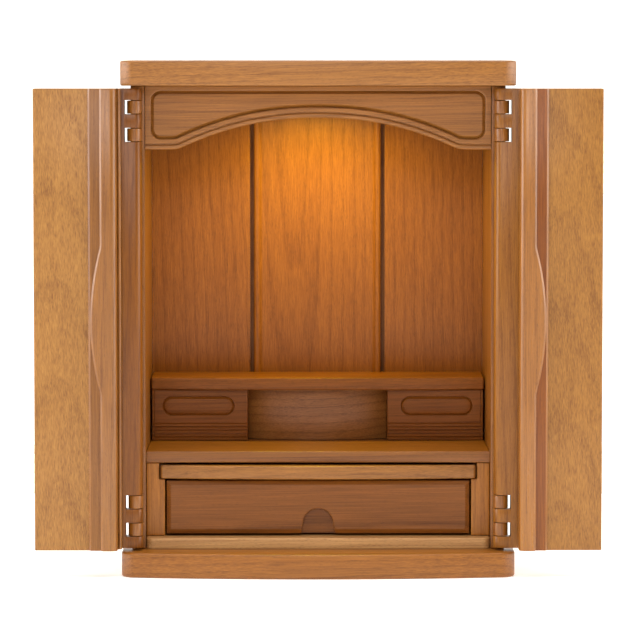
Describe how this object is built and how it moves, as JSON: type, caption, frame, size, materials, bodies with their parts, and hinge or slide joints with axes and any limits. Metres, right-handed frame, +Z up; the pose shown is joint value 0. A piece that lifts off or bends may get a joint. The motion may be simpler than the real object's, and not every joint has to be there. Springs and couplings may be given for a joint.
{
  "type": "household altar cabinet",
  "caption": "Tabletop household altar cabinet in varnished wood with folding doors, an inner platform, a pull-out board and a drawer.",
  "frame": {"origin": "middle of the footprint at floor level, with the doors folded back", "axes": "+X to the viewer's right, +Y from the open front towards the back, +Z up"},
  "size_m": [0.6186, 0.29, 0.56],
  "materials": {
    "light_wood": "clear satin varnish",
    "door_wood": "clear satin varnish",
    "inner_wood": "reddish satin varnish",
    "drawer_wood": "satin varnish",
    "brass": "brushed and lacquered",
    "lamp_body": "satin",
    "lamp_lens": "frosted, lit"
  },
  "bodies": {
    "cabinet": {"base_board": "light_wood", "top_board": "light_wood", "floor_board": "light_wood", "side_board_left": "light_wood", "side_board_right": "light_wood", "valance": "light_wood", "middle_shelf": "light_wood", "stile_left": "light_wood", "stile_right": "light_wood", "tray_nosing": "light_wood", "tray_board": "light_wood", "back_board": "inner_wood", "back_panel_centre": "inner_wood", "back_panel_left": "inner_wood", "back_panel_right": "inner_wood", "runner_left": "inner_wood", "runner_right": "inner_wood", "drawer_side_left": "inner_wood", "drawer_side_right": "inner_wood", "drawer_back": "inner_wood", "drawer_bottom": "inner_wood", "upper_shelf": "inner_wood", "platform_front_left": "inner_wood", "platform_front_right": "inner_wood", "platform_outer_cheek_left": "inner_wood", "platform_outer_cheek_right": "inner_wood", "platform_inner_cheek_left": "inner_wood", "platform_inner_cheek_right": "inner_wood", "platform_centre": "inner_wood", "drawer_front": "drawer_wood", "lamp_housing": "lamp_body", "lamp_lens": "lamp_lens"},
    "left_hung_leaf": {"door_hung_leaf_left": "door_wood", "hinge_lower_hung_half_left": "brass", "hinge_upper_hung_half_left": "brass"},
    "left_folding_leaf": {"door_folding_leaf_left": "door_wood", "hinge_lower_folding_half_left": "brass", "hinge_upper_folding_half_left": "brass"},
    "right_hung_leaf": {"door_hung_leaf_right": "door_wood", "hinge_lower_hung_half_right": "brass", "hinge_upper_hung_half_right": "brass"},
    "right_folding_leaf": {"door_folding_leaf_right": "door_wood", "hinge_lower_folding_half_right": "brass", "hinge_upper_folding_half_right": "brass"}
  },
  "joints": [
    {"name": "left_door", "type": "hinge", "parent": "cabinet", "child": "left_hung_leaf", "pos_m": [-0.199, -0.104, 0.28], "axis": [0, 0, 1], "range_deg": [0, 180]},
    {"name": "left_fold", "type": "hinge", "parent": "left_hung_leaf", "child": "left_folding_leaf", "pos_m": [-0.3075, -0.11375, 0.28], "axis": [0, 0, 1], "range_deg": [-180, 0]},
    {"name": "right_door", "type": "hinge", "parent": "cabinet", "child": "right_hung_leaf", "pos_m": [0.199, -0.104, 0.28], "axis": [0, 0, -1], "range_deg": [0, 180]},
    {"name": "right_fold", "type": "hinge", "parent": "right_hung_leaf", "child": "right_folding_leaf", "pos_m": [0.3075, -0.11375, 0.28], "axis": [0, 0, -1], "range_deg": [-180, 0]}
  ],
  "couplings": [
    {"joint": "left_fold", "follows": "left_door", "ratio": -1},
    {"joint": "right_fold", "follows": "right_door", "ratio": -1}
  ]
}
